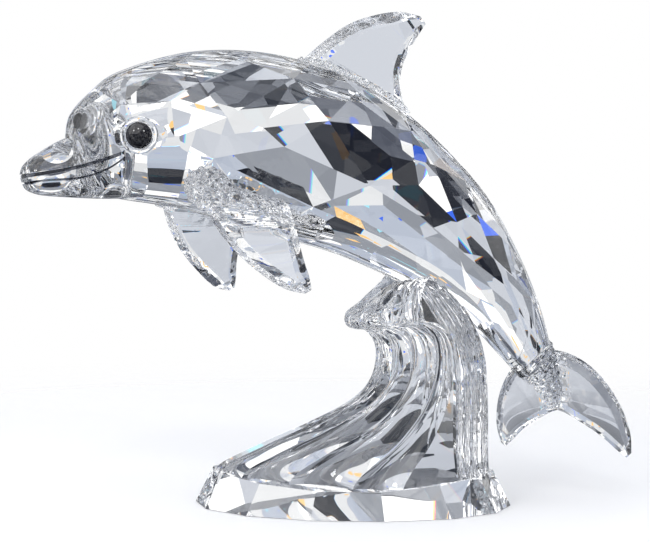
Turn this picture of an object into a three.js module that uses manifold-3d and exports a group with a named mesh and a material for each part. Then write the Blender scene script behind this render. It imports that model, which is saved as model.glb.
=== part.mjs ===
import * as THREE from 'three';
import { mergeVertices } from 'three/addons/utils/BufferGeometryUtils.js';
import Module from 'manifold-3d';

// Leaping dolphin on a curling wave. Millimetres, nose towards -X, up is +Z, resting on z = 0.
// The dolphin's middle plane is y = 0, and its left side is -Y.

const GAP = 0.3; // clearance between bonded pieces
const LIFT = 2.2; // how far the cutting shape stands off where the body stays smooth
const BODY_STEPS = 24; // cuts along the smooth body
const BODY_SIDES = 24; // corners of each of them
const CUT_SPACING = 8.5; // about the distance between two of the body's cuts
const SKIN_RADIUS = 15; // about the distance from the body's middle line to its skin

const EYE_RADIUS = 2.8;
const EYE_DEPTH = 1.9;
const EYE_RIM = 0.6;
const EYE_HOLLOW = 0.8; // depth of the almond-shaped recess round the eye
const EYE_HOLLOW_LENGTH = 12.4;
const EYE_HOLLOW_HEIGHT = 8.6;
const EYE_PLACE = 3.08; // along the body's cuts
const EYE_ANGLE = 92; // degrees down from the back
const MOUTH_WIDTH = 0.55;
const LIP_WIDTH = 0.33;
const MOUTH_DEPTH = 0.7;
const HEAD_REACH = 20; // half the width of the plates that cut the mouth's lines

const BLADE_EDGE = 0.22; // a blade's thickness at its edges, as a share of its panel's
const BLADE_TIP = 0.28; // its thickness at the tip, as a share of the root's
const DORSAL_THICKNESS = 5.6;
const FLIPPER_THICKNESS = 4.4;
const FAR_FLIPPER_DROP = 2.4; // how much lower the far flipper's tip hangs
const FAR_FLIPPER_AHEAD = 1.7; // how much nearer the nose the far flipper is set
const FLUKE_THICKNESS = 4.2;
const FAR_LOBE_SWEEP = 0.12; // extra sweep of the far lobe, per millimetre of its span
const FLUKE_TWIST = 31; // degrees between the flukes' span and the dolphin's cross axis

const FOOT_LENGTH = 74;
const FOOT_WIDTH = 40;
const FOOT_HEIGHT = 5.6;
const FOOT_RISE = 2.8; // extra height of the foot's top at its two ends
const FOOT_SIDES = 14;
const FOOT_INSET = 4.2;
const FOOT_TURN = -24; // degrees from the dolphin's length to the foot's
const WAVE_HALF_WIDTH = 10.5; // at the crest
const WAVE_FLARE = 5.5; // added to each side at the foot
const WAVE_SWING = 0.34; // how far the low parts slide round with the foot, per millimetre from its middle
const WAVE_CREST = 51; // height where the flare and the slide end
const FLARE_END = 25; // place along the dolphin where the flare ends
const FLUTE_DEPTH = 1.7;

// Cuts across the body: x, z of the back, x, z of the belly, half width.
const BODY = [
  [-66.6, 85.5, -65.4, 80.5, 2.0],
  [-65.4, 90.0, -62.6, 75.8, 7.6],
  [-61.2, 94.7, -58.8, 72.6, 11.4],
  [-54.9, 99.3, -54.0, 71.3, 13.8],
  [-40.0, 103.9, -42.0, 69.4, 16.4],
  [-24.0, 104.6, -29.5, 66.0, 17.4],
  [-8.0, 101.6, -17.0, 62.4, 17.2],
  [7.5, 94.8, -4.0, 58.6, 16.2],
  [20.6, 85.2, 8.5, 53.4, 14.2],
  [33.2, 72.6, 20.3, 47.9, 11.6],
  [42.2, 58.6, 30.2, 41.5, 8.6],
  [48.3, 45.9, 38.2, 33.7, 5.8],
  [51.4, 36.7, 44.0, 27.7, 4.0],
];
const BEAK = [
  [-76.5, 77.0, -76.3, 75.6, 1.2],
  [-75.6, 79.0, -75.2, 73.4, 3.4],
  [-72.6, 81.4, -72.2, 72.3, 4.9],
  [-66.0, 84.9, -66.0, 71.8, 6.4],
  [-58.0, 86.0, -58.5, 71.5, 9.6],
  [-50.0, 86.5, -50.0, 71.6, 11.5],
];
// The end of the tail stock that belongs to the flukes.
const STOCK = [
  [52.0, 36.6, 44.9, 27.5, 3.9],
  [53.6, 31.5, 47.4, 25.6, 3.7],
  [54.4, 27.0, 50.2, 22.8, 3.1],
  [54.3, 23.0, 52.0, 20.6, 2.2],
  [53.9, 20.6, 52.9, 19.6, 0.8],
];

// The mouth's line and the lower lip's line in the XZ plane.
const MOUTH_LINE = [[-79, 75.9], [-72.7, 76.9], [-65.7, 78.2], [-61.3, 79.5], [-57.1, 81.1]];
const LIP_LINE = [[-79, 74.2], [-72.6, 75.4], [-65.0, 76.0], [-60.0, 77.6], [-56.4, 80.2]];

// Corners of the large flats: place along the body's cuts, degrees down from the back.
const CORNERS = [
  [0.9, 62], [1.5, 30], [1.9, 66], [2.3, 36], [2.9, 22], [2.75, 60], [3.38, 41], [3.6, 68],
  [3.9, 26], [4.02, 56], [4.4, 82], [4.26, 111], [4.72, 104], [4.96, 86], [4.75, 34], [5.32, 95],
  [5.4, 46], [5.95, 71], [6.4, 36], [6.62, 62], [7.42, 68], [6.8, 101], [6.06, 128], [5.2, 122],
  [7.3, 46], [7.8, 60], [7.6, 83], [7.76, 102], [7.12, 132], [8.46, 87], [8.72, 106], [8.3, 130],
  [8.5, 44], [8.75, 66], [9.4, 84], [9.55, 52], [9.7, 108], [9.3, 132], [10.1, 70], [10.5, 92],
  [10.7, 52], [10.8, 116], [11.3, 78], [11.6, 100],
];
// Corners that stand off the skin round the eye and under the tail stock.
const SMOOTH_CORNERS = [
  [2.3, 92], [3.1, 80], [3.1, 108], [1.4, 98], [3.85, 97], [5.6, 160], [11.2, 22], [9.9, 20],
];

// Outlines of the wave in the XZ plane: the curl at its middle and the shoulder at its sides.
const CURL = [
  [34.4, 2], [33.8, 12], [33.6, 26], [32.1, 37], [26.5, 47], [17, 55], [9.8, 51.6], [4.5, 48],
  [1, 45.8], [-1.2, 44.4], [-1.4, 42.6], [0, 41.2], [3.6, 40.6], [6, 37.6], [6.4, 33.5], [4.8, 28.2],
  [0, 24], [-10.5, 19.2], [-25, 13.2], [-34, 8.6], [-36, 2],
];
const SHOULDER = [
  [29.4, 2], [28.4, 12], [28.4, 25], [27.6, 34], [24.2, 42.5], [19, 49.5], [14.5, 53.4], [12.2, 51.4],
  [11, 49], [10.4, 47], [10.4, 45], [11.4, 43.4], [14.5, 42.6], [17.6, 40.2], [18.8, 36], [18.2, 30],
  [15.6, 23], [10.6, 16], [5, 11], [1, 6.5], [0.5, 2],
];

// The wave's ridges: share of the way from curl to shoulder, share of the half width.
const RIDGES = [[0, 0.1], [0.13, 0.42], [0.42, 0.72], [0.82, 0.98], [1.15, 1.14]];

const wasm = await Module();
wasm.setup();

const rad = THREE.MathUtils.degToRad;
const UP = new THREE.Vector3(0, 0, 1);

function toSolid(geometry) {
  const bare = geometry.clone();
  bare.deleteAttribute('normal');
  bare.deleteAttribute('uv');
  const welded = mergeVertices(bare, 1e-5);
  return new wasm.Manifold(new wasm.Mesh({
    numProp: 3,
    vertProperties: new Float32Array(welded.attributes.position.array),
    triVerts: new Uint32Array(welded.index.array),
  }));
}

function toGeometry(solid) {
  const mesh = solid.getMesh();
  const geometry = new THREE.BufferGeometry();
  geometry.setAttribute('position', new THREE.BufferAttribute(new Float32Array(mesh.vertProperties), 3));
  geometry.setIndex(new THREE.BufferAttribute(new Uint32Array(mesh.triVerts), 1));
  return geometry;
}

// A closed solid from a corner list and triangles, turned outward if it came out inside out.
function solidFrom(points, faces) {
  const geometry = new THREE.BufferGeometry();
  const places = points.flatMap((p) => [p.x, p.y, p.z]);
  geometry.setAttribute('position', new THREE.Float32BufferAttribute(places, 3));
  let volume = 0;
  for (const [a, b, c] of faces) {
    volume += points[a].dot(new THREE.Vector3().crossVectors(points[b], points[c]));
  }
  geometry.setIndex(faces.flatMap(([a, b, c]) => (volume > 0 ? [a, b, c] : [a, c, b])));
  return toSolid(geometry);
}

// Triangles that fill a ring, turning the same way as the ring.
function fill(ring) {
  const normal = new THREE.Vector3();
  ring.forEach((p, i) => normal.add(new THREE.Vector3().crossVectors(p, ring[(i + 1) % ring.length])));
  normal.normalize();
  const across = ring[1].clone().sub(ring[0]).projectOnPlane(normal).normalize();
  const up = new THREE.Vector3().crossVectors(normal, across);
  const flat = ring.map((p) => new THREE.Vector2(p.dot(across), p.dot(up)));
  return THREE.ShapeUtils.triangulateShape(flat, []);
}

// Joins rings of equal length into a tube with filled ends.
function loft(rings) {
  const count = rings[0].length;
  const points = rings.flat();
  const faces = [];
  for (let i = 0; i + 1 < rings.length; i += 1) {
    for (let j = 0; j < count; j += 1) {
      const k = (j + 1) % count;
      const a = i * count;
      faces.push([a + j, a + k, a + count + k], [a + j, a + count + k, a + count + j]);
    }
  }
  for (const [start, turned] of [[0, true], [(rings.length - 1) * count, false]]) {
    for (const [a, b, c] of fill(points.slice(start, start + count))) {
      faces.push(turned ? [start + a, start + c, start + b] : [start + a, start + b, start + c]);
    }
  }
  return solidFrom(points, faces);
}

// The smooth row between the given rows, at a place counted in rows.
function between(rows, place) {
  const last = rows.length - 1;
  const i = Math.min(Math.max(Math.floor(place), 0), last - 1);
  const f = place - i;
  const [a, b, c, d] = [-1, 0, 1, 2].map((k) => rows[Math.min(Math.max(i + k, 0), last)]);
  return b.map((_, n) => 0.5 * (2 * b[n] + (c[n] - a[n]) * f
    + (2 * a[n] - 5 * b[n] + 4 * c[n] - d[n]) * f * f
    + (3 * b[n] - a[n] - 3 * c[n] + d[n]) * f * f * f));
}

// A point of the skin of a body given by cuts, grown outward by the given amount.
function skin(cuts, place, angle, grow = 0) {
  const [backX, backZ, bellyX, bellyZ, side] = between(cuts, place);
  const half = new THREE.Vector3((backX - bellyX) / 2, 0, (backZ - bellyZ) / 2);
  const reach = half.length();
  half.multiplyScalar(((reach + grow) / reach) * Math.cos(angle));
  const out = -(side + grow) * Math.sin(angle);
  return new THREE.Vector3((backX + bellyX) / 2, out, (backZ + bellyZ) / 2).add(half);
}

function skinSolid(cuts, steps, sides, grow = 0) {
  const along = Math.round(steps);
  const around = Math.round(sides);
  const rings = [];
  for (let i = 0; i <= along; i += 1) {
    const place = ((cuts.length - 1) * i) / along;
    const angles = Array.from({ length: around }, (_, j) => (2 * Math.PI * j) / around);
    rings.push(angles.map((angle) => skin(cuts, place, angle, grow)));
  }
  return loft(rings);
}

// Triangles joining scattered places, by the empty circle rule.
function triangulate(places) {
  const faces = [];
  for (let a = 0; a < places.length; a += 1) {
    for (let b = a + 1; b < places.length; b += 1) {
      for (let c = b + 1; c < places.length; c += 1) {
        const [p, q, r] = [places[a], places[b], places[c]];
        const cross = (q[0] - p[0]) * (r[1] - p[1]) - (q[1] - p[1]) * (r[0] - p[0]);
        if (Math.abs(cross) < 1e-6) {
          continue;
        }
        const [m, n] = [q, r].map((s) => (s[0] - p[0]) ** 2 + (s[1] - p[1]) ** 2);
        const x = ((r[1] - p[1]) * m - (q[1] - p[1]) * n) / (2 * cross);
        const y = ((q[0] - p[0]) * n - (r[0] - p[0]) * m) / (2 * cross);
        const clear = places.every((s, k) => k === a || k === b || k === c
          || Math.hypot(s[0] - p[0] - x, s[1] - p[1] - y) > Math.hypot(x, y));
        if (clear) {
          faces.push(cross > 0 ? [a, b, c] : [a, c, b]);
        }
      }
    }
  }
  return faces;
}

// The flat-sided shape that the body is cut to: corners on the skin for the flats,
// corners standing off the skin along the back, the belly, the throat and round the eye.
function cuttingShape() {
  const last = BODY.length - 1;
  const corners = CORNERS.map(([place, angle]) => [place, angle, 0]);
  for (let i = 0; i <= last; i += 1) {
    const wobble = 0.04 * Math.sin(7 * i);
    const place = i === 0 || i === last ? i : i + wobble;
    for (const angle of [0, 180]) {
      corners.push([place, angle, LIFT]);
    }
    if (i > 0 && i < last) {
      corners.push([place + 0.3, i < 4 ? 128 : 154, LIFT]);
    }
  }
  for (const end of [0, last]) {
    corners.push([end, 45, LIFT], [end, 90, LIFT], [end, 135, LIFT]);
  }
  for (const [place, angle] of SMOOTH_CORNERS) {
    corners.push([place, angle, LIFT]);
  }
  const unrolled = corners.map(([place, angle]) => [place * CUT_SPACING, rad(angle) * SKIN_RADIUS]);
  const faces = triangulate(unrolled);
  const points = [];
  const near = corners.map(([place, angle, lift]) => points.push(skin(BODY, place, rad(angle), lift)) - 1);
  const far = corners.map(([place, angle, lift], i) => (angle % 180 === 0 ? near[i]
    : points.push(skin(BODY, place, -rad(angle), lift)) - 1));
  const all = faces.flatMap(([a, b, c]) => [[near[a], near[b], near[c]], [far[a], far[c], far[b]]]);
  for (const end of [0, last]) {
    const ring = corners.map((corner, i) => [...corner, i]).filter(([place]) => place === end);
    ring.sort((p, q) => p[1] - q[1]);
    const loop = [...ring.map((c) => near[c[3]]), ...ring.slice(1, -1).reverse().map((c) => far[c[3]])];
    for (let k = 1; k + 1 < loop.length; k += 1) {
      all.push(end === 0 ? [loop[0], loop[k], loop[k + 1]] : [loop[0], loop[k + 1], loop[k]]);
    }
  }
  return solidFrom(points, all);
}

const smoothBody = skinSolid(BODY, BODY_STEPS, BODY_SIDES);
const roomForBody = skinSolid(BODY, BODY_STEPS, BODY_SIDES, GAP);
const smoothBeak = skinSolid(BEAK, 10, 16);

// A flat plate along a path in the XZ plane, right through the head.
function plateAlong(path, width, depth) {
  const curve = new THREE.CatmullRomCurve3(path.map(([x, z]) => new THREE.Vector3(x, 0, z)));
  const section = [[-1, -1], [1, -1], [1, 1], [-1, 1]];
  const rings = curve.getPoints(5).map((p) => section.map(
    ([a, b]) => new THREE.Vector3(p.x, a * depth, p.z + (b * width) / 2),
  ));
  return loft(rings);
}

// Where an eye sits on the skin, with its third axis pointing outward.
function eyeFrame(side) {
  const angle = side * rad(EYE_ANGLE);
  const centre = skin(BODY, EYE_PLACE, angle);
  const ahead = skin(BODY, EYE_PLACE + 0.12, angle).sub(skin(BODY, EYE_PLACE - 0.12, angle));
  const down = skin(BODY, EYE_PLACE, angle + 0.05).sub(skin(BODY, EYE_PLACE, angle - 0.05));
  const out = new THREE.Vector3().crossVectors(ahead, down).normalize();
  if (out.y * side > 0) {
    out.negate();
  }
  const up = new THREE.Vector3(0, 0, 1).addScaledVector(out, -out.z).normalize();
  const across = new THREE.Vector3().crossVectors(up, out);
  return new THREE.Matrix4().makeBasis(across, up, out).setPosition(centre);
}

function ball(radii, frame, detail = 20) {
  const geometry = new THREE.SphereGeometry(1, detail, Math.round(detail * 0.6));
  geometry.scale(...radii);
  geometry.applyMatrix4(frame);
  return toSolid(geometry);
}

function eyeRing(frame) {
  const geometry = new THREE.TorusGeometry(EYE_RADIUS + GAP + EYE_RIM * 0.6, EYE_RIM, 5, 16);
  geometry.translate(0, 0, -EYE_HOLLOW / 2);
  geometry.applyMatrix4(frame);
  return toSolid(geometry);
}

function buildBody() {
  const innerBody = skinSolid(BODY, BODY_STEPS, BODY_SIDES, -MOUTH_DEPTH);
  const innerHead = skinSolid(BEAK, 10, 16, -MOUTH_DEPTH).add(innerBody);
  const mouth = plateAlong(MOUTH_LINE, MOUTH_WIDTH, HEAD_REACH);
  const lip = plateAlong(LIP_LINE, LIP_WIDTH, HEAD_REACH);
  let solid = smoothBody.intersect(cuttingShape()).add(smoothBeak);
  solid = solid.subtract(mouth.subtract(innerHead)).subtract(lip.subtract(innerHead));
  for (const side of [1, -1]) {
    const frame = eyeFrame(side);
    const hollow = ball([EYE_HOLLOW_LENGTH / 2, EYE_HOLLOW_HEIGHT / 2, EYE_HOLLOW], frame, 12);
    const room = ball([EYE_RADIUS + GAP, EYE_RADIUS + GAP, EYE_DEPTH + GAP], frame, 14);
    solid = solid.subtract(hollow).add(eyeRing(frame)).subtract(room);
  }
  return solid;
}

// A thin blade between a leading and a trailing edge, with a flat panel inside a bevelled rim.
function blade({ lead, trail, facing, thickness, rim, steps = 10 }) {
  const front = new THREE.CatmullRomCurve3(lead);
  const rear = new THREE.CatmullRomCurve3(trail);
  const rings = [];
  for (let i = 0; i <= steps; i += 1) {
    const t = i / steps;
    const a = front.getPointAt(t);
    const b = rear.getPointAt(t);
    const chord = b.clone().sub(a);
    const width = chord.length();
    const taper = BLADE_TIP + (1 - BLADE_TIP) * Math.sqrt(1 - t);
    const half = (thickness / 2) * taper * Math.min(1, width / (2 * rim[0]));
    const inner = Math.min(rim[0] / width, 0.36);
    const outer = 1 - Math.min(rim[1] / width, 0.3);
    const out = facing.clone().multiplyScalar(half);
    const at = (u, v) => a.clone().addScaledVector(chord, u).addScaledVector(out, v);
    rings.push([at(0, BLADE_EDGE), at(inner, 1), at(outer, 1), at(1, BLADE_EDGE),
      at(1, -BLADE_EDGE), at(outer, -1), at(inner, -1), at(0, -BLADE_EDGE)]);
  }
  return loft(rings);
}

function buildDorsal() {
  const at = (list) => list.map(([x, z]) => new THREE.Vector3(x, 0, z));
  const fin = blade({
    lead: at([[-18, 97], [-12.8, 102.4], [-6.8, 107.6], [-0.6, 111.8], [5.6, 114.0], [11.6, 115.0],
      [17.0, 114.2]]),
    trail: at([[14.5, 86], [13.4, 91.5], [12.2, 95.5], [11.9, 100.4], [13.5, 105.1], [16.0, 109.1],
      [18.4, 112.4]]),
    facing: new THREE.Vector3(0, 1, 0),
    thickness: DORSAL_THICKNESS,
    rim: [3.6, 1.8],
  });
  return fin.subtract(roomForBody);
}

// Flipper on the near side for side = 1 and on the far side for side = -1.
function buildFlipper(side, drop, ahead) {
  const sag = [0, 0, 0.2, 0.4, 0.7, 1, 1];
  const at = (list) => list.map(
    ([x, y, z], i) => new THREE.Vector3(x - ahead, -side * y, z - drop * sag[i]),
  );
  const fin = blade({
    lead: at([[-42.5, 9, 76], [-39.7, 15.5, 70], [-37.5, 18, 65.1], [-34.1, 20.5, 60.3],
      [-29.4, 22.5, 55.8], [-24.7, 24.5, 52.6], [-20.6, 25.6, 51.4]]),
    trail: at([[-20, 9, 73], [-19.9, 15.5, 66.9], [-19.7, 17, 64.5], [-19.8, 20, 60.9],
      [-19.7, 22.5, 57.8], [-19.3, 24.5, 54.7], [-19.2, 25.8, 52.2]]),
    facing: new THREE.Vector3(0.1, -side * 0.86, 0.5).normalize(),
    thickness: FLIPPER_THICKNESS,
    rim: [2.6, 2.2],
  });
  const tilt = (x, y, z, turn) => {
    const frame = new THREE.Matrix4().makeRotationY(rad(turn));
    return frame.setPosition(x - ahead, -side * y, z);
  };
  const root = ball([5.6, 3.4, 4.6], tilt(-38.4, 14.6, 73.6, 20), 12);
  const tail = ball([11.0, 3.0, 3.0], tilt(-29.2, 14.6, 70.2, 24), 12);
  return fin.add(root).add(tail).subtract(roomForBody);
}

function flukeFrame() {
  const twist = rad(FLUKE_TWIST);
  const span = new THREE.Vector3(Math.sin(twist), -Math.cos(twist), -0.03).normalize();
  const back = new THREE.Vector3(0.224, 0.134, -0.965).normalize();
  const out = new THREE.Vector3().crossVectors(span, back).normalize();
  return { span, back, out, origin: new THREE.Vector3(52.2, 0, 34.6) };
}

function buildFlukes() {
  const { span, back, out, origin } = flukeFrame();
  const lobe = (side, sweep) => {
    const at = (list) => list.map(([b, a]) => origin.clone().addScaledVector(span, side * b)
      .addScaledVector(back, a + b * sweep));
    return blade({
      lead: at([[-0.5, 0.4], [4.2, 0.8], [9.3, 2.9], [13.6, 6.8], [17.2, 12.8], [19.0, 19.6],
        [18.8, 25.0]]),
      trail: at([[-0.5, 16.0], [2.0, 16.6], [5.4, 18.2], [9.2, 20.2], [12.2, 22.2], [14.8, 24.4],
        [17.4, 26.4]]),
      facing: out,
      thickness: FLUKE_THICKNESS,
      rim: [2.4, 1.7],
    });
  };
  const lobes = lobe(1, 0).add(lobe(-1, FAR_LOBE_SWEEP));
  return lobes.add(skinSolid(STOCK, 6, 14)).subtract(roomForBody);
}

// Low parts of the wave slide sideways as the foot turns, square to the foot's own length.
function swing(x, z) {
  const slide = -WAVE_SWING * x * Math.max(1 - z / WAVE_CREST, 0);
  return new THREE.Vector3(0, slide, 0).applyAxisAngle(UP, rad(FOOT_TURN));
}

function waveRing(share, width, samples = 40) {
  const rows = CURL.map((p, i) => p.map((v, n) => v + (SHOULDER[i][n] - v) * share));
  return Array.from({ length: samples }, (_, k) => {
    const [x, z] = between(rows, ((rows.length - 1) * k) / (samples - 1));
    const low = Math.max(1 - z / WAVE_CREST, 0);
    const flare = WAVE_FLARE * low * Math.min(1 - x / FLARE_END, 1);
    return new THREE.Vector3(x, width * (WAVE_HALF_WIDTH + flare), z).add(swing(x, z));
  });
}

function buildWave() {
  const half = [];
  RIDGES.forEach(([share, width], i) => {
    half.push([share, width]);
    if (i + 1 < RIDGES.length) {
      const [nextShare, nextWidth] = RIDGES[i + 1];
      half.push([(share + nextShare) / 2, (width + nextWidth) / 2 - FLUTE_DEPTH / WAVE_HALF_WIDTH]);
    }
  });
  const side = (sign) => half.map(([share, width]) => waveRing(share, sign * width));
  const wave = loft([...side(-1).reverse(), ...side(1)]);
  const level = (inset, height) => Array.from({ length: FOOT_SIDES }, (_, k) => {
    const a = (2 * Math.PI * k) / FOOT_SIDES;
    const x = (FOOT_LENGTH / 2 - inset) * Math.cos(a);
    const y = (FOOT_WIDTH / 2 - inset) * Math.sin(a);
    const rise = height > 0 ? FOOT_RISE * Math.cos(a) ** 2 : 0;
    return new THREE.Vector3(x, y, height + rise).applyAxisAngle(UP, rad(FOOT_TURN));
  });
  const foot = loft([level(0, 0), level(FOOT_INSET, FOOT_HEIGHT)]);
  return wave.add(foot).subtract(roomForBody);
}

const crystal = { color: 0xdfe6ee, roughness: 0.02, metalness: 0 };
const black = { color: 0x08080a, roughness: 0.05, metalness: 0 };

function piece(name, solid, look) {
  const mesh = new THREE.Mesh(toGeometry(solid), new THREE.MeshStandardMaterial(look));
  mesh.name = name;
  return mesh;
}

const group = new THREE.Group();
group.name = 'crystal_dolphin';
group.add(piece('dolphin_body', buildBody(), crystal));
group.add(piece('dorsal_fin', buildDorsal(), crystal));
group.add(piece('pectoral_fin_left', buildFlipper(1, 0, 0), crystal));
group.add(piece('pectoral_fin_right', buildFlipper(-1, FAR_FLIPPER_DROP, FAR_FLIPPER_AHEAD), crystal));
group.add(piece('tail_flukes', buildFlukes(), crystal));
for (const [name, side] of [['eye_left', 1], ['eye_right', -1]]) {
  group.add(piece(name, ball([EYE_RADIUS, EYE_RADIUS, EYE_DEPTH], eyeFrame(side), 14), black));
}
group.add(piece('wave_base', buildWave(), crystal));

export default group;
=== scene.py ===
"""Looks for a cut-crystal dolphin leaping over a wave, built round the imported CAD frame.

Everything is in metres in the row's own frame: nose towards -X, up is +Z, the foot's underside at z = 0.
Sizes and places are written in millimetres, and a solid scales them by MM when it becomes a mesh.
"""

from __future__ import annotations

import logging
import math
from dataclasses import dataclass, field
from enum import Enum

import bpy
import numpy as np
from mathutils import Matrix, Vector

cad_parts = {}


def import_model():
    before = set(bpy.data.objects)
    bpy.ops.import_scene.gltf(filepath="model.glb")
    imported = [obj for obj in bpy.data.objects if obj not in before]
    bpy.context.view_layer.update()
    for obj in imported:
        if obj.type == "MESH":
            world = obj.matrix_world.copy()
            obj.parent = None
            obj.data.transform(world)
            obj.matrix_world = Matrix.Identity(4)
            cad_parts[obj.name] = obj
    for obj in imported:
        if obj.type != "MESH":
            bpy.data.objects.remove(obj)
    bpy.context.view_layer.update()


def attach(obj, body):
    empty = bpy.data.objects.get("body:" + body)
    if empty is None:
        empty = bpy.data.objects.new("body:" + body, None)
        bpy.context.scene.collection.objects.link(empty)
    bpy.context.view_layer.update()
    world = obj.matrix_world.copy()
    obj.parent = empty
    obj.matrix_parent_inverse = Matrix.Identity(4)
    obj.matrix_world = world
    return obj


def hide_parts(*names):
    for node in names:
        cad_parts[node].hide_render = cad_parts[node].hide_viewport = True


Triple = tuple[float, float, float]
Frame = tuple[np.ndarray, np.ndarray, np.ndarray, np.ndarray]
Tones = tuple[tuple[float, Triple], ...]
Socket = bpy.types.NodeSocket
Tree = bpy.types.NodeTree

LOG = logging.getLogger("dolphin")

MM = 0.001
UP = np.array([0.0, 0.0, 1.0])
SIDEWAYS = np.array([0.0, 1.0, 0.0])

# The width of the bond lines between the body and its neighbours.
BOND_GAP = 0.3

# The eye stones, and where they sit: place along the body's cuts, degrees down from the back.
EYE_RADIUS, EYE_DEPTH = 2.8, 1.9
EYE_PLACE, EYE_ANGLE = 3.08, 92.0

# A blade's thickness along its edges and at its tip, as shares of that in its middle and at its root.
BLADE_EDGE, BLADE_TIP = 0.22, 0.28

# Cuts across the body: x, z of the back, x, z of the belly, half width.
BODY = np.array([
    [-66.6, 85.5, -65.4, 80.5, 2.0],
    [-65.4, 90.0, -62.6, 75.8, 7.6],
    [-61.2, 94.7, -58.8, 72.6, 11.4],
    [-54.9, 99.3, -54.0, 71.3, 13.8],
    [-40.0, 103.9, -42.0, 69.4, 16.4],
    [-24.0, 104.6, -29.5, 66.0, 17.4],
    [-8.0, 101.6, -17.0, 62.4, 17.2],
    [7.5, 94.8, -4.0, 58.6, 16.2],
    [20.6, 85.2, 8.5, 53.4, 14.2],
    [33.2, 72.6, 20.3, 47.9, 11.6],
    [42.2, 58.6, 30.2, 41.5, 8.6],
    [48.3, 45.9, 38.2, 33.7, 5.8],
    [51.4, 36.7, 44.0, 27.7, 4.0],
])
BEAK = np.array([
    [-76.5, 77.0, -76.3, 75.6, 1.2],
    [-75.6, 79.0, -75.2, 73.4, 3.4],
    [-72.6, 81.4, -72.2, 72.3, 4.9],
    [-66.0, 84.9, -66.0, 71.8, 6.4],
    [-58.0, 86.0, -58.5, 71.5, 9.6],
    [-50.0, 86.5, -50.0, 71.6, 11.5],
])
STOCK = np.array([
    [52.0, 36.6, 44.9, 27.5, 3.9],
    [53.6, 31.5, 47.4, 25.6, 3.7],
    [54.4, 27.0, 50.2, 22.8, 3.1],
    [54.3, 23.0, 52.0, 20.6, 2.2],
    [53.9, 20.6, 52.9, 19.6, 0.8],
])

# Corners of the large flats: place along the body's cuts, degrees down from the back.
CORNERS = [
    (0.9, 62), (1.5, 30), (1.9, 66), (2.3, 36), (2.9, 22), (2.75, 60), (3.38, 41), (3.6, 68),
    (3.9, 26), (4.02, 56), (4.4, 82), (4.26, 111), (4.72, 104), (4.96, 86), (4.75, 34), (5.32, 95),
    (5.4, 46), (5.95, 71), (6.4, 36), (6.62, 62), (7.42, 68), (6.8, 101), (6.06, 128), (5.2, 122),
    (7.3, 46), (7.8, 60), (7.6, 83), (7.76, 102), (7.12, 132), (8.46, 87), (8.72, 106), (8.3, 130),
    (8.5, 44), (8.75, 66), (9.4, 84), (9.55, 52), (9.7, 108), (9.3, 132), (10.1, 70), (10.5, 92),
    (10.7, 52), (10.8, 116), (11.3, 78), (11.6, 100),
]
# Corners off the skin, where the body stays smooth, and how far off they are.
LOOSE_CORNERS = [(2.3, 92), (3.1, 80), (3.1, 108), (1.4, 98), (5.6, 160), (11.2, 22), (9.9, 20)]
STAND_OFF = 2.2
# The corner behind the eye, which brings the flats up to it: place, degrees and how far off the skin.
EYE_CORNER = (3.64, 97, 0.1)
# The spacing of the cuts and the radius that the corners are laid out flat with, to be joined by triangles.
CUT_SPACING, SKIN_RADIUS = 8.5, 15.0

# The lines of the mouth and of the lip below it, as x and z.
MOUTH_LINE = [(-79, 75.9), (-72.7, 76.9), (-65.7, 78.2), (-61.3, 79.5), (-57.1, 81.1)]
LIP_LINE = [(-79, 74.2), (-72.6, 75.4), (-65.0, 76.0), (-60.0, 77.6), (-56.4, 80.2)]

# The fin on the back as x and z: its edges, root first, and the joint at its foot.
DORSAL_LEAD = [
    (-18, 97), (-12.8, 102.4), (-6.8, 107.6), (-0.6, 111.8), (5.6, 114.0), (11.6, 115.0), (17.0, 114.2),
]
DORSAL_TRAIL = [
    (14.5, 86), (13.4, 91.5), (12.2, 95.5), (11.9, 100.4), (13.5, 105.1), (16.0, 109.1), (18.4, 112.4),
]
DORSAL_FOOT = [(-16.5, 101.7), (-10, 101.2), (-3, 98.8), (4, 95.8), (9, 93.2), (13.4, 90.6)]

# A flipper's edges, root first: x, distance from the middle plane, z, share of the far one's drop.
FLIPPER_LEAD = [
    (-42.5, 9, 76, 0), (-39.7, 15.5, 70, 0), (-37.5, 18, 65.1, 0.2), (-34.1, 20.5, 60.3, 0.4),
    (-29.4, 22.5, 55.8, 0.7), (-24.7, 24.5, 52.6, 1), (-20.6, 25.6, 51.4, 1),
]
FLIPPER_TRAIL = [
    (-20, 9, 73, 0), (-19.9, 15.5, 66.9, 0), (-19.7, 17, 64.5, 0.2), (-19.8, 20, 60.9, 0.4),
    (-19.7, 22.5, 57.8, 0.7), (-19.3, 24.5, 54.7, 1), (-19.2, 25.8, 52.2, 1),
]
# The lumps of a flipper's root: radii, middle, degrees turned down towards the tail.
ROOT_KNOBS = [
    ((5.6, 3.4, 4.6), (-38.4, 14.6, 73.6), 20),
    ((11, 2.6, 2.2), (-29.2, 14.6, 70.6), 24),
]

# A fluke's edges, root first: distance out from the stock, distance back from its start.
LOBE_LEAD = [(-0.5, 0.4), (4.2, 0.8), (9.3, 2.9), (13.6, 6.8), (17.2, 12.8), (19.0, 19.6), (18.8, 25.0)]
LOBE_TRAIL = [
    (-0.5, 16.0), (2.0, 16.6), (5.4, 18.2), (9.2, 20.2), (12.2, 22.2), (14.8, 24.4), (17.4, 26.4),
]

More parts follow.
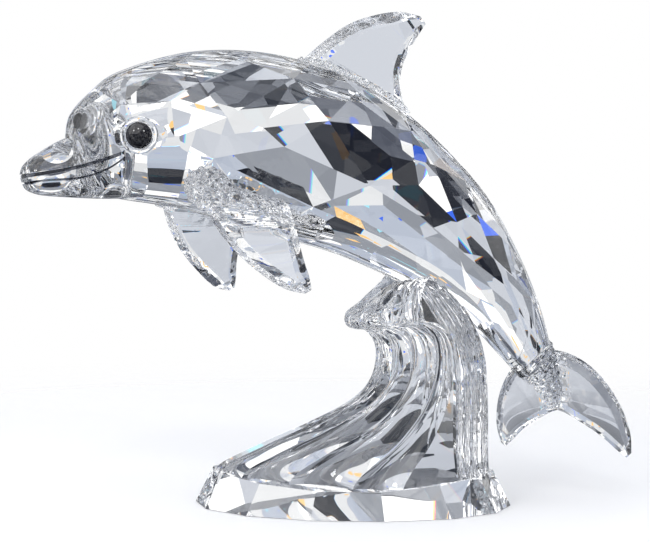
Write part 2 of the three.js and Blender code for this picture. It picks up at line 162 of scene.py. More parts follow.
# The wave's outlines in the XZ plane: the middle curl and the outermost flute.
CURL = np.array([
    [34.4, 2], [33.8, 12], [33.6, 26], [32.1, 37], [26.5, 47], [17, 55], [9.8, 51.6], [4.5, 48],
    [1, 45.8], [-1.2, 44.4], [-1.4, 42.6], [0, 41.2], [3.6, 40.6], [6, 37.6], [6.4, 33.5], [4.8, 28.2],
    [0, 24], [-10.5, 19.2], [-25, 13.2], [-34, 8.6], [-36, 2],
])
SHOULDER = np.array([
    [29.4, 2], [28.4, 12], [28.4, 25], [27.6, 34], [24.2, 42.5], [19, 49.5], [14.5, 53.4], [12.2, 51.4],
    [11, 49], [10.4, 47], [10.4, 45], [11.4, 43.4], [14.5, 42.6], [17.6, 40.2], [18.8, 36], [18.2, 30],
    [15.6, 23], [10.6, 16], [5, 11], [1, 6.5], [0.5, 2],
])
# The ridges between the wave's flutes: share of the way from curl to shoulder, share of the half width.
RIDGES = [(0, 0.1), (0.13, 0.42), (0.42, 0.72), (0.82, 0.98), (1.15, 1.14)]
# The narrow flutes on the wave's sides: side (-1 is the near one), distance in from the edge, radius.
SIDE_FLUTES = [(-1, 1.7, 0.8), (-1, 3.8, 0.85), (-1, 6.0, 0.8), (1, 3.8, 0.8)]


class Skin(Enum):
    """How a face of a solid is shaded."""

    SMOOTH = 0
    FLAT = 1
    RIM = 2
    # LINE marks the faces of the mouth's grooves, which get painted shade.
    LINE = 3


class Join(Enum):
    """How one object changes another."""

    ADD = "UNION"
    CUT = "DIFFERENCE"
    KEEP = "INTERSECT"


def between(rows: np.ndarray, places: np.ndarray) -> np.ndarray:
    """Smooth rows between given rows.

    Args:
        rows: the given rows, shape (n, k).
        places: where to read, counted in rows.

    Returns:
        One row for each place.
    """
    last = len(rows) - 1
    places = np.asarray(places, float)
    i = np.clip(np.floor(places).astype(int), 0, last - 1)
    f = (places - i)[..., None]
    a, b, c, d = (rows[np.clip(i + k, 0, last)] for k in (-1, 0, 1, 2))
    bend = (2 * a - 5 * b + 4 * c - d) * f**2 + (3 * b - a - 3 * c + d) * f**3
    return 0.5 * (2 * b + (c - a) * f + bend)


def by_length(points: np.ndarray, steps: int) -> np.ndarray:
    """Points at even distances along a smooth curve.

    Args:
        points: the points that the curve goes through.
        steps: how many steps there are along it.

    Returns:
        The points, one more than the steps.
    """
    fine = between(np.asarray(points, float), np.linspace(0, len(points) - 1, 600))
    travel = np.concatenate([[0], np.cumsum(np.linalg.norm(np.diff(fine, axis=0), axis=1))])
    wanted = np.linspace(0, travel[-1], steps + 1)
    return np.stack([np.interp(wanted, travel, fine[:, k]) for k in range(3)], 1)


def unit(vector: np.ndarray) -> np.ndarray:
    """The vector at length one."""
    return vector / np.linalg.norm(vector)


def skin_points(cuts: np.ndarray, places: np.ndarray, angles: np.ndarray, grow: float = 0.0) -> np.ndarray:
    """Points of a body's skin.

    Args:
        cuts: the cuts across the body.
        places: places along the cuts.
        angles: angles down from the back, in radians, positive on the near side.
        grow: distance outward from the skin, in millimetres.

    Returns:
        Points in millimetres, with the shape of places and angles together.
    """
    places, angles = np.broadcast_arrays(np.asarray(places, float), np.asarray(angles, float))
    rows = between(cuts, places)
    mid = (rows[..., [0, 1]] + rows[..., [2, 3]]) / 2
    half = (rows[..., [0, 1]] - rows[..., [2, 3]]) / 2
    reach = np.linalg.norm(half, axis=-1, keepdims=True)
    xz = mid + half * ((reach + grow) / reach) * np.cos(angles)[..., None]
    return np.stack([xz[..., 0], -(rows[..., 4] + grow) * np.sin(angles), xz[..., 1]], -1)


def lumps(points: np.ndarray, size: float) -> np.ndarray:
    """Irregular lumps.

    Args:
        points: where to read them, in millimetres.
        size: the distance from one lump to the next, in millimetres.

    Returns:
        A value from about -1 to 1 for each point.
    """
    rng = np.random.default_rng(7)
    total = np.zeros(len(points))
    for _ in range(12):
        way = unit(rng.normal(size=3)) * 2 * np.pi / (size * rng.uniform(0.8, 1.4))
        total += np.sin(points @ way + rng.uniform(0, 2 * np.pi))
    return np.clip(total / 3.2, -1.2, 1.2)


def near_points(points: np.ndarray, places: list[Triple], reach: float) -> np.ndarray:
    """A soft mask round some places.

    Args:
        points: the points to value, in millimetres.
        places: the middles of the mask.
        reach: how far the mask goes, in millimetres.

    Returns:
        1 at a place, falling to 0 at the reach.
    """
    nearest = np.full(len(points), 1e9)
    for place in places:
        nearest = np.minimum(nearest, np.linalg.norm(points - np.array(place), axis=1))
    return np.clip(1.5 * (1 - nearest / reach), 0, 1)


@dataclass
class Solid:
    """A closed mesh in the making, with a shading tag on each face.

    Attributes:
        points: its points, in millimetres.
        faces: its faces, as numbers of points.
        skin: the shading tag of all faces.
        skins: a shading tag for each face, instead of one for all.
    """

    points: np.ndarray
    faces: list[tuple[int, ...]]
    skin: Skin = Skin.SMOOTH
    skins: list[Skin] | None = None

    def object(self, name: str) -> bpy.types.Object:
        """Makes a Blender object of it.

        Args:
            name: the object's name.

        Returns:
            The object, in metres, with its faces turned outward.
        """
        mesh = bpy.data.meshes.new(name)
        mesh.from_pydata((np.asarray(self.points) * MM).tolist(), [], [list(f) for f in self.faces])
        mesh.update()
        if self._volume() < 0:
            mesh.flip_normals()
        for value in Skin:
            mesh.materials.append(_tag(value))
        skins = self.skins or [self.skin] * len(mesh.polygons)
        mesh.polygons.foreach_set("material_index", [skin.value for skin in skins])
        piece = bpy.data.objects.new(name, mesh)
        bpy.context.scene.collection.objects.link(piece)
        return piece

    def _volume(self) -> float:
        """Measures it, to tell which way its faces are turned.

        Returns:
            Six times its volume, below zero where its faces are turned inward.
        """
        volume = 0.0
        points = np.asarray(self.points)
        for face in self.faces:
            for k in range(1, len(face) - 1):
                volume += float(points[face[0]] @ np.cross(points[face[k]], points[face[k + 1]]))
        return volume


def _tag(value: Skin) -> bpy.types.Material:
    """The placeholder material that carries a shading tag through the cuts."""
    name = f"tag_{value.name.lower()}"
    return bpy.data.materials.get(name) or bpy.data.materials.new(name)


def combine(base: bpy.types.Object, other: bpy.types.Object, how: Join) -> bpy.types.Object:
    """Adds, cuts or intersects one object with another.

    Args:
        base: the object that changes.
        other: the object that is used up.
        how: how the base changes.

    Returns:
        The changed base.
    """
    modifier = base.modifiers.new("combine", "BOOLEAN")
    modifier.operation = how.value
    modifier.solver = "MANIFOLD"
    modifier.object = other
    graph = bpy.context.evaluated_depsgraph_get()
    mesh = bpy.data.meshes.new_from_object(base.evaluated_get(graph))
    base.modifiers.clear()
    old = base.data
    base.data = mesh
    mesh.name = base.name
    bpy.data.meshes.remove(old)
    spent = other.data
    bpy.data.objects.remove(other)
    bpy.data.meshes.remove(spent)
    return base


def loft(rings: list[np.ndarray], skin: Skin = Skin.SMOOTH, strips: tuple[Skin, ...] = ()) -> Solid:
    """Joins rings of equal length into a tube with filled ends.

    Args:
        rings: the rings.
        skin: the shading tag of all faces.
        strips: a shading tag for each strip along the tube, instead of one for all.

    Returns:
        The tube.
    """
    count = len(rings[0])
    faces: list[tuple[int, ...]] = []
    for i in range(len(rings) - 1):
        for j in range(count):
            k, a = (j + 1) % count, i * count
            faces.append((a + j, a + k, a + count + k, a + count + j))
    faces.append(tuple(reversed(range(count))))
    start = (len(rings) - 1) * count
    faces.append(tuple(range(start, start + count)))
    skins = [*(strips * (len(rings) - 1)), skin, skin] if strips else None
    return Solid(np.concatenate(rings), faces, skin, skins)


def skin_solid(cuts: np.ndarray, along: int, around: int, grow: float = 0.0) -> Solid:
    """A smooth body from its cuts.

    Args:
        cuts: the cuts across the body.
        along: how many steps there are along it.
        around: how many sides it has.
        grow: distance outward from the cuts, in millimetres.

    Returns:
        The body as a solid.
    """
    angles = 2 * np.pi * np.arange(around) / around
    places = (len(cuts) - 1) * np.arange(along + 1) / along
    return loft([skin_points(cuts, np.full(around, p), angles, grow) for p in places])


def room_for_body() -> bpy.types.Object:
    """The body grown by the bond gap, for cutting its neighbours."""
    return skin_solid(BODY, 110, 96, BOND_GAP).object("room")


def lumpy(solid: Solid, heart: np.ndarray, depth: float, size: float) -> Solid:
    """Raises lumps on a solid.

    Args:
        solid: the solid, which is changed.
        heart: the point, or one for each of the solid's points, that the lumps point away from.
        depth: the lumps' height, in millimetres.
        size: the distance from one lump to the next, in millimetres.

    Returns:
        The solid.
    """
    away = solid.points - heart
    away = away / np.maximum(np.linalg.norm(away, axis=1, keepdims=True), 1e-6)
    solid.points = solid.points + away * depth * lumps(solid.points, size)[:, None]
    return solid


def bead(path: np.ndarray, radius: float, depth: float, size: float) -> Solid:
    """A lumpy bead of round section along a path, tapering at its ends.

    Args:
        path: points along its middle, in millimetres.
        radius: its radius in the middle.
        depth: the lumps' height.
        size: the distance from one lump to the next.

    Returns:
        The bead.
    """
    steps, around = 160, 24
    line = by_length(path, steps)
    angles = 2 * np.pi * np.arange(around) / around
    rings, hearts = [], []
    for i, place in enumerate(line):
        along = unit(line[min(i + 1, steps)] - line[max(i - 1, 0)])
        side = unit(np.cross(along, SIDEWAYS))
        third = np.cross(along, side)
        thick = radius * math.sqrt(max(1 - (2 * i / steps - 1) ** 6, 0.02))
        rings.append(place + thick * (np.cos(angles)[:, None] * side + np.sin(angles)[:, None] * third))
        hearts.append(np.tile(place, (around, 1)))
    return lumpy(loft(rings), np.concatenate(hearts), depth, size)


def ball(radii: Triple, frame: Frame, rings: int, around: int) -> Solid:
    """A squashed ball.

    Args:
        radii: its radii across, up and outward.
        frame: its middle, and its across, up and outward directions.
        rings: how many steps there are from pole to pole.
        around: how many sides it has.

    Returns:
        The ball.
    """
    centre, across, up, out = frame
    points, faces = [], []
    for i in range(1, rings):
        lat = math.pi * i / rings
        for j in range(around):
            lon = 2 * math.pi * j / around
            level = across * radii[0] * math.sin(lat) * math.cos(lon)
            level = level + up * radii[1] * math.sin(lat) * math.sin(lon)
            points.append(centre + level + out * radii[2] * math.cos(lat))
    for i in range(rings - 2):
        for j in range(around):
            k = (j + 1) % around
            faces.append((i * around + j, (i + 1) * around + j, (i + 1) * around + k, i * around + k))
    poles = len(points)
    points += [centre + out * radii[2], centre - out * radii[2]]
    for j in range(around):
        k = (j + 1) % around
        faces.append((poles, j, k))
        faces.append((poles + 1, (rings - 2) * around + k, (rings - 2) * around + j))
    return Solid(np.array(points), faces)


def hoop(radius: float, tube: float, frame: Frame, lift: float) -> Solid:
    """A ring of round section.

    Args:
        radius: the radius of its middle line.
        tube: the radius of its section.
        frame: its middle, and its across, up and outward directions.
        lift: how far it is moved outward.

    Returns:
        The ring.
    """
    steps, around = 96, 16
    centre, across, up, out = frame
    points, faces = [], []
    for i in range(steps):
        a = 2 * math.pi * i / steps
        radial = across * math.cos(a) + up * math.sin(a)
        for j in range(around):
            b = 2 * math.pi * j / around
            section = radial * (radius + tube * math.cos(b))
            points.append(centre + section + out * (lift + tube * math.sin(b)))
    for i in range(steps):
        for j in range(around):
            p, q = (i + 1) % steps, (j + 1) % around
            faces.append((i * around + j, p * around + j, p * around + q, i * around + q))
    return Solid(np.array(points), faces)


def plate(path: list[tuple[float, float]], width: float, reach: float) -> Solid:
    """A flat plate along a path, right through the head.

    Args:
        path: points of its middle, as x and z.
        width: its thickness, seen from the side.
        reach: how far it reaches to each side.

    Returns:
        The plate.
    """
    rings = []
    for x, z in between(np.array(path), np.linspace(0, len(path) - 1, 41)):
        corners = ((-1, -1), (1, -1), (1, 1), (-1, 1))
        rings.append(np.array([[x, a * reach, z + b * width / 2] for a, b in corners]))
    return loft(rings, Skin.LINE)


def blade(lead: np.ndarray, trail: np.ndarray, out: np.ndarray, thickness: float,
          bevels: tuple[float, float]) -> Solid:
    """A thin blade between two edges, with a flat panel inside a bevelled rim.

    Args:
        lead: points of the leading edge, root first.
        trail: points of the trailing edge, root first.
        out: the blade's facing direction.
        thickness: its thickness at the root.
        bevels: the bevel's width at the leading and the trailing edge.

    Returns:
        The blade.
    """
    steps = 60
    front, rear = by_length(lead, steps), by_length(trail, steps)
    edge = BLADE_EDGE
    rings = []
    for i in range(steps + 1):
        start, chord = front[i], rear[i] - front[i]
        width = float(np.linalg.norm(chord))
        taper = BLADE_TIP + (1 - BLADE_TIP) * math.sqrt(1 - i / steps)
        half = thickness / 2 * taper * min(1.0, width / (2 * bevels[0]))
        u, v = min(bevels[0] / width, 0.36), 1 - min(bevels[1] / width, 0.3)
        places = ((0, edge), (u, 1), (v, 1), (1, edge), (1, -edge), (v, -1), (u, -1), (0, -edge))
        rings.append(np.array([start + chord * p + out * half * q for p, q in places]))
    rim, panel = Skin.RIM, Skin.SMOOTH
    return loft(rings, strips=(rim, panel, rim, rim, rim, panel, rim, rim))


def triangulate(places: np.ndarray) -> list[tuple[int, int, int]]:
    """Triangles joining scattered places, by the empty circle rule.

    Args:
        places: the places, shape (n, 2).

    Returns:
        The triangles, each as three numbers of places, all turned the same way.
    """
    faces = []
    count = len(places)
    for a in range(count):
        for b in range(a + 1, count):
            q = places[b] - places[a]
            for c in range(b + 1, count):
                r = places[c] - places[a]
                cross = q[0] * r[1] - q[1] * r[0]
                if abs(cross) < 1e-6:
                    continue
                m, n = q @ q, r @ r
                x = (r[1] * m - q[1] * n) / (2 * cross)
                y = (q[0] * n - r[0] * m) / (2 * cross)
                away = np.hypot(places[:, 0] - places[a][0] - x, places[:, 1] - places[a][1] - y)
                away[[a, b, c]] = np.inf
                if away.min() > math.hypot(x, y):
                    faces.append((a, b, c) if cross > 0 else (a, c, b))
    return faces


def cutting_corners() -> list[Triple]:
    """The corners of one side of the cutting shape.

    Returns:
        For each, its place along the body's cuts, degrees down from the back, and how far off the skin it is.
    """
    last = len(BODY) - 1
    corners = [(place, angle, 0.0) for place, angle in CORNERS]
    for i in range(last + 1):
        place = float(i) if i in (0, last) else i + 0.04 * math.sin(7 * i)
        corners += [(place, angle, STAND_OFF) for angle in (0, 180)]
        if 0 < i < last:
            corners.append((place + 0.3, 128 if i < 4 else 154, STAND_OFF))
    ends = [(end, angle) for end in (0, last) for angle in (45, 90, 135)]
    corners += [(place, angle, STAND_OFF) for place, angle in ends + LOOSE_CORNERS]
    return [*corners, EYE_CORNER]


def cutting_shape() -> Solid:
    """The flat-sided shape that the body is cut to.

    Returns:
        The shape, standing off where the body stays smooth.
    """
    corners = cutting_corners()
    laid = [(place * CUT_SPACING, math.radians(angle) * SKIN_RADIUS) for place, angle, _ in corners]
    faces = triangulate(np.array(laid))
    points: list[np.ndarray] = []
    near, far = [], []
    for place, angle, lift in corners:
        near.append(len(points))
        points.append(skin_points(BODY, place, math.radians(angle), lift))
    for index, (place, angle, lift) in enumerate(corners):
        if angle % 180 == 0:
            far.append(near[index])
        else:
            far.append(len(points))
            points.append(skin_points(BODY, place, -math.radians(angle), lift))
    shape = [tuple(near[i] for i in face) for face in faces]
    shape += [tuple(far[i] for i in reversed(face)) for face in faces]
    for end in (0, len(BODY) - 1):
        ring = sorted((angle, i) for i, (place, angle, _) in enumerate(corners) if place == end)
        ids = [near[i] for _, i in ring] + [far[i] for _, i in reversed(ring[1:-1])]
        shape.append(tuple(ids) if end == 0 else tuple(reversed(ids)))
    return Solid(np.array(points), shape, Skin.FLAT)


def eye_frame(side: int) -> Frame:
    """Where an eye sits and how it is turned.

    Args:
        side: 1 for the near eye, -1 for the far one.

    Returns:
        The eye's middle, and its across, up and outward directions.
    """
    angle = side * math.radians(EYE_ANGLE)
    ahead = skin_points(BODY, EYE_PLACE + 0.12, angle) - skin_points(BODY, EYE_PLACE - 0.12, angle)
    down = skin_points(BODY, EYE_PLACE, angle + 0.05) - skin_points(BODY, EYE_PLACE, angle - 0.05)
    out = unit(np.cross(ahead, down))
    if out[1] * side > 0:
        out = -out
    up = unit(UP - out * out[2])
    return skin_points(BODY, EYE_PLACE, angle), np.cross(up, out), up, out


@dataclass(frozen=True)
class Finish:
    """What a crystal finish looks like.

    Attributes:
        name: the material's name.
        colour: its tint, as linear red, green and blue.
        polish: its roughness where it is polished.
        ripple_size: the size of the frosted ripples, in millimetres.
        ripple_depth: the strength of the ripples, from 0 to 1.
        index: how strongly it bends light.
        clear: True for see-through crystal.
    """

    name: str
    colour: Triple
    polish: float
    ripple_size: float
    ripple_depth: float
    index: float = 1.56
    clear: bool = True


@dataclass
class SurfaceEffect:
    """The shared node group that turns a ripple mask and a line mask into colour, roughness and height; the
    line mask paints shade into the mouth's grooves.

    Attributes:
        smudge: how much roughness the faint smudges add.
        smudge_scale: how many smudges there are in a metre.
        frost: how much roughness full ripples add.
        cloud: how much of the frosted tint full ripples take on.
        frosted: the frosted tint.
        painted_groove_shade: the painted shade in the mouth's lines, a near-black colour that stands in for
            the shadow in the grooves.
        group: the node group.
    """

    smudge: float = 0.006
    smudge_scale: float = 90.0
    frost: float = 0.012
    cloud: float = 0.12
    frosted: Triple = (0.86, 0.89, 0.94)
    # Painted shade: the mouth's grooves are coloured near black, as if in shadow.
    painted_groove_shade: Triple = (0.02, 0.022, 0.03)
    group: Tree = field(init=False)

    def __post_init__(self) -> None:
        """Builds the node group."""
        self.group = bpy.data.node_groups.new("crystal_surface", "ShaderNodeTree")
        inputs = (
            ("Colour", "NodeSocketColor", (1.0, 1.0, 1.0, 1.0)),
            ("Mask", "NodeSocketFloat", 0.0),
            ("Line", "NodeSocketFloat", 0.0),
            ("Polish", "NodeSocketFloat", 0.0),
            ("Ripple Size", "NodeSocketFloat", 1.0),
        )
        outputs = (
            ("Colour", "NodeSocketColor"),
            ("Roughness", "NodeSocketFloat"),
            ("Height", "NodeSocketFloat"),
        )
        for name, kind, value in inputs:
            socket = self.group.interface.new_socket(name, in_out="INPUT", socket_type=kind)
            socket.default_value = value
        for name, kind in outputs:
            self.group.interface.new_socket(name, in_out="OUTPUT", socket_type=kind)
        entry = self.group.nodes.new("NodeGroupInput")
        leave = self.group.nodes.new("NodeGroupOutput")
        place = self.group.nodes.new("ShaderNodeTexCoord").outputs["Object"]
        self._link(self._height(entry, place), leave.inputs["Height"])
        self._link(self._roughness(entry, place), leave.inputs["Roughness"])
        self._link(self._colour(entry), leave.inputs["Colour"])

    def _link(self, start: Socket, end: Socket) -> None:
        """Joins two sockets of the group."""
        self.group.links.new(start, end)

    def _math(self, operation: str, *terms: Socket | float) -> Socket:
        """Adds a sum to the group.

        Args:
            operation: the sum's name.
            terms: what it works on, as sockets or plain values.

        Returns:
            The socket that gives the result.
        """
        node = self.group.nodes.new("ShaderNodeMath")
        node.operation = operation
        for socket, term in zip(node.inputs, terms):
            if isinstance(term, float):
                socket.default_value = term
            else:
                self._link(term, socket)
        return node.outputs[0]

    def _height(self, entry: bpy.types.ShaderNode, place: Socket) -> Socket:
        """The ripples' height.

        Args:
            entry: the group's input node.
            place: the socket that gives the place.

        Returns:
            The socket that gives the height.
        """
        bumps = self.group.nodes.new("ShaderNodeTexVoronoi")
        bumps.feature = "SMOOTH_F1"
        waves = self.group.nodes.new("ShaderNodeTexNoise")
        waves.inputs["Detail"].default_value = 0.5
        scale = self._math("DIVIDE", 1.0 / MM, entry.outputs["Ripple Size"])
        for texture in (bumps, waves):
            self._link(place, texture.inputs["Vector"])
            self._link(scale, texture.inputs["Scale"])
        mixed = self._math("ADD", bumps.outputs["Distance"], waves.outputs["Fac"])
        return self._math("MULTIPLY", mixed, entry.outputs["Mask"])

    def _roughness(self, entry: bpy.types.ShaderNode, place: Socket) -> Socket:
        """The roughness, from polish, faint smudges and frost.

        Args:
            entry: the group's input node.
            place: the socket that gives the place.

        Returns:
            The socket that gives the roughness.
        """
        smudges = self.group.nodes.new("ShaderNodeTexNoise")
        smudges.inputs["Scale"].default_value = self.smudge_scale
        self._link(place, smudges.inputs["Vector"])
        grey = self._math("MULTIPLY", smudges.outputs["Fac"], self.smudge)
        frost = self._math("MULTIPLY_ADD", entry.outputs["Mask"], self.frost, grey)
        return self._math("ADD", frost, entry.outputs["Polish"])

    def _colour(self, entry: bpy.types.ShaderNode) -> Socket:
        """The colour, clouded where it is rippled and darkened by painted shade in the mouth's lines.

        Args:
            entry: the group's input node.

        Returns:
            The socket that gives the colour.
        """
        cloud = self._math("MULTIPLY", entry.outputs["Mask"], self.cloud)
        colour = entry.outputs["Colour"]
        # The line mask paints shade into the mouth's grooves.
        for share, tint in ((cloud, self.frosted), (entry.outputs["Line"], self.painted_groove_shade)):
            colour = mixed_colour(self.group, share, colour, tint)
        return colour

    def material(self, finish: Finish) -> bpy.types.Material:
        """A material with this effect and one finish's values.

        Args:
            finish: the finish.

        Returns:
            The material.
        """
        material = bpy.data.materials.new(finish.name)
        material.use_nodes = True
        nodes, links = material.node_tree.nodes, material.node_tree.links
        shader = nodes["Principled BSDF"]
        shader.inputs["IOR"].default_value = finish.index
        shader.inputs["Metallic"].default_value = 0.0
        shader.inputs["Transmission Weight"].default_value = 1.0 if finish.clear else 0.0
        effect = nodes.new("ShaderNodeGroup")
        effect.node_tree = self.group
        effect.inputs["Colour"].default_value = (*finish.colour, 1.0)
        effect.inputs["Polish"].default_value = finish.polish
        effect.inputs["Ripple Size"].default_value = finish.ripple_size
        for name, socket in (("ripple", "Mask"), ("line", "Line")):
            mask = nodes.new("ShaderNodeAttribute")
            mask.attribute_name = name
            links.new(mask.outputs["Fac"], effect.inputs[socket])
        bump = nodes.new("ShaderNodeBump")
        bump.inputs["Strength"].default_value = finish.ripple_depth
        bump.inputs["Distance"].default_value = finish.ripple_size * MM * 0.5
        links.new(effect.outputs["Height"], bump.inputs["Height"])
        links.new(effect.outputs["Colour"], shader.inputs["Base Color"])
        links.new(effect.outputs["Roughness"], shader.inputs["Roughness"])
        links.new(bump.outputs["Normal"], shader.inputs["Normal"])
        return material


CLEAR = Finish("clear_crystal", (0.992, 0.993, 0.996), 0.0, 1.9, 0.45)
BLADE = Finish("blade_crystal", (0.992, 0.993, 0.996), 0.0, 1.9, 0.45)
WAVE = Finish("wave_crystal", (0.99, 0.991, 0.995), 0.0, 2.2, 0.5)
JET = Finish("jet_crystal", (0.006, 0.006, 0.009), 0.02, 0.6, 0.1, index=1.6, clear=False)


def mixed_colour(tree: Tree, share: Socket, base: Socket,
                 tint: Triple) -> Socket:
    """Mixes a plain tint over a colour.

    Args:
        tree: the node tree.
        share: the socket that gives the tint's share.
        base: the socket that gives the colour.
        tint: the tint.

    Returns:
        The socket that gives the mixed colour.
    """
    mix = tree.nodes.new("ShaderNodeMix")
    mix.data_type = "RGBA"
    mix.inputs["B"].default_value = (*tint, 1.0)
    tree.links.new(share, mix.inputs["Factor"])
    tree.links.new(base, mix.inputs["A"])
    return mix.outputs["Result"]


@dataclass
class Piece:
    """One visible piece and the CAD node that it stands for.

    Attributes:
        name: the piece's name.
        node: the CAD node's name.
        slot: the name of a material slot; it is not used.
        material: the material.
        rim_ripple: how rippled the bevelled rims are.
    """

    name: str
    node: str
    slot: str
    material: bpy.types.Material
    rim_ripple: float = 0.15

    def shape(self) -> bpy.types.Object:
        """Makes the piece's mesh."""
        raise NotImplementedError

    def ripples(self, points: np.ndarray) -> np.ndarray:
        """How rippled the surface is at each point, from 0 to 1."""
        return np.zeros(len(points))

    def build(self) -> bpy.types.Object:
        """Makes the piece, shades it and ties it to the frame.

        Returns:
            The finished object.
        """
        piece = self.shape()
        mesh = piece.data
        mesh.validate()
        tags = np.zeros(len(mesh.polygons), int)
        mesh.polygons.foreach_get("material_index", tags)
        mesh.set_sharp_from_angle(angle=math.radians(17))
        mesh.polygons.foreach_set("use_smooth", tags != Skin.FLAT.value)
        mesh.materials.clear()
        mesh.materials.append(self.material)
        mesh.polygons.foreach_set("material_index", np.zeros(len(tags), int))
        self._masks(mesh, tags)
        mesh.update()
        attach(piece, "root")
        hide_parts(self.node)
        LOG.info("%s: %d faces", self.name, len(mesh.polygons))
        return piece

    def _masks(self, mesh: bpy.types.Mesh, tags: np.ndarray) -> None:
        """Writes the ripple mask and the line mask, which marks the mouth's grooves for painted shade, on a
        mesh.

        Args:
            mesh: the mesh.
            tags: the shading tag's value for each face.
        """
        flat = np.zeros(len(mesh.vertices) * 3, np.float32)
        mesh.vertices.foreach_get("co", flat)
        corners = np.zeros(len(mesh.loops), int)
        mesh.loops.foreach_get("vertex_index", corners)
        sizes = np.zeros(len(tags), int)
        mesh.polygons.foreach_get("loop_total", sizes)
        corner_tags = np.repeat(tags, sizes)
        rippled = np.clip(self.ripples(flat.reshape(-1, 3) / MM), 0, 1)[corners]
        rippled = np.where(corner_tags == Skin.RIM.value, np.maximum(rippled, self.rim_ripple), rippled)
        # The line mask marks the groove faces that get painted shade.
        for name, values in (("ripple", rippled), ("line", corner_tags == Skin.LINE.value)):
            layer = mesh.attributes.new(name, "FLOAT", "CORNER")
            layer.data.foreach_set("value", np.asarray(values, np.float32))


@dataclass
class Body(Piece):
    """The cut-crystal body with its beak, mouth line and eye sockets.

    Attributes:
        along: how many steps the skin has along the body.
        around: how many sides the skin has.
        mouth_width: the width of the mouth's line.
        lip_width: the width of the lip's line.
        line_depth: the depth of both lines.
        head_reach: half the width of the plates that cut the lines.
        hollow: half the length, half the height and the depth of the hollow round an eye.
        rim: the radius of the section of the ring round an eye stone.
    """

    along: int = 200
    around: int = 144
    mouth_width: float = 0.8
    lip_width: float = 0.45
    line_depth: float = 1.1
    head_reach: float = 20.0
    hollow: Triple = (6.2, 4.3, 0.8)
    rim: float = 0.6

    def shape(self) -> bpy.types.Object:
        """Makes the body's mesh.

        Returns:
            The body, not yet shaded.
        """
        body = skin_solid(BODY, self.along, self.around).object(self.name)
        combine(body, cutting_shape().object("cut"), Join.KEEP)
        combine(body, skin_solid(BEAK, 60, 72).object("beak"), Join.ADD)
        for path, width in ((MOUTH_LINE, self.mouth_width), (LIP_LINE, self.lip_width)):
            combine(body, self._groove(path, width), Join.CUT)
        for side in (1, -1):
            self._socket(body, side)
        return body

    def _groove(self, path: list[tuple[float, float]], width: float) -> bpy.types.Object:
        """The shape that cuts a line into both sides of the beak.

        Args:
            path: the line's points, as x and z.
            width: the line's width.

        Returns:
            The shape.
        """
        groove = plate(path, width, self.head_reach).object("groove")
        for cuts, along, around in ((BODY, 80, 64), (BEAK, 40, 48)):
            inner = skin_solid(cuts, along, around, -self.line_depth)
            inner.skin = Skin.LINE
            combine(groove, inner.object("inner"), Join.CUT)
        return groove

    def _socket(self, body: bpy.types.Object, side: int) -> None:
        """Cuts an eye's hollow and the room for its stone, with a ring between them.

        Args:
            body: the body.
            side: 1 for the near eye, -1 for the far one.
        """
        frame = eye_frame(side)
        room = EYE_RADIUS + BOND_GAP
        combine(body, ball(self.hollow, frame, 32, 64).object("hollow"), Join.CUT)
        ring = hoop(room + self.rim * 0.6, self.rim, frame, -self.hollow[2] / 2)
        combine(body, ring.object("ring"), Join.ADD)
        combine(body, ball((room, room, EYE_DEPTH + BOND_GAP), frame, 32, 64).object("room"), Join.CUT)

    def ripples(self, points: np.ndarray) -> np.ndarray:
        """Ripples under the flippers' roots, along the fin's foot and at the end of the tail stock.

        Args:
            points: the points to value, in millimetres.

        Returns:
            A value from 0 to 1 for each point.
        """
        roots = [(x, s * 14.6, z) for x, z in ((-38.4, 73.6), (-29.2, 70.2)) for s in (-1, 1)]
        foot = [(x, 0.0, 102.6 - 0.42 * (x + 12)) for x in range(-12, 14, 3)]
        tail = [(49.0, 0.0, 32.5)]
        patches = ((roots, 6.0), (foot, 4.0), (tail, 6.0))
        return np.maximum.reduce([near_points(points, places, reach) for places, reach in patches])


@dataclass
class Eye(Piece):
    """A polished black eye stone on the near side (1) or the far side (-1)."""

    side: int = 1

    def shape(self) -> bpy.types.Object:
        """Makes the stone's mesh."""
        return ball((EYE_RADIUS, EYE_RADIUS, EYE_DEPTH), eye_frame(self.side), 40, 64).object(self.name)


@dataclass
class Dorsal(Piece):
    """The fin on the back.

    Attributes:
        thickness: its thickness at the root.
        bevels: the bevel's width at the leading and the trailing edge.
        bead_radius: the radius of the lumpy beads along its foot.
    """

    thickness: float = 5.6
    bevels: tuple[float, float] = (3.6, 1.8)
    bead_radius: float = 1.1

    def shape(self) -> bpy.types.Object:
        """Makes the fin's mesh, with a lumpy bead along each side of its foot.

        Returns:
            The fin, not yet shaded.
        """
        front, rear = (np.array([(x, 0.0, z) for x, z in row]) for row in (DORSAL_LEAD, DORSAL_TRAIL))
        fin = blade(front, rear, SIDEWAYS, self.thickness, self.bevels).object(self.name)
        for side in (1, -1):
            path = np.array([(x, side * 2.4, z + 0.9) for x, z in DORSAL_FOOT])
            combine(fin, bead(path, self.bead_radius, 0.3, 1.1).object("bead"), Join.ADD)
        return combine(fin, room_for_body(), Join.CUT)

    def ripples(self, points: np.ndarray) -> np.ndarray:
        """Ripples over the joint at the fin's foot."""
        joint = np.interp(points[:, 0], (-18, -10, 4, 13), (103.5, 103.0, 97.8, 92.6))
        return np.clip((joint - points[:, 2]) / 1.5 + 0.5, 0, 1)


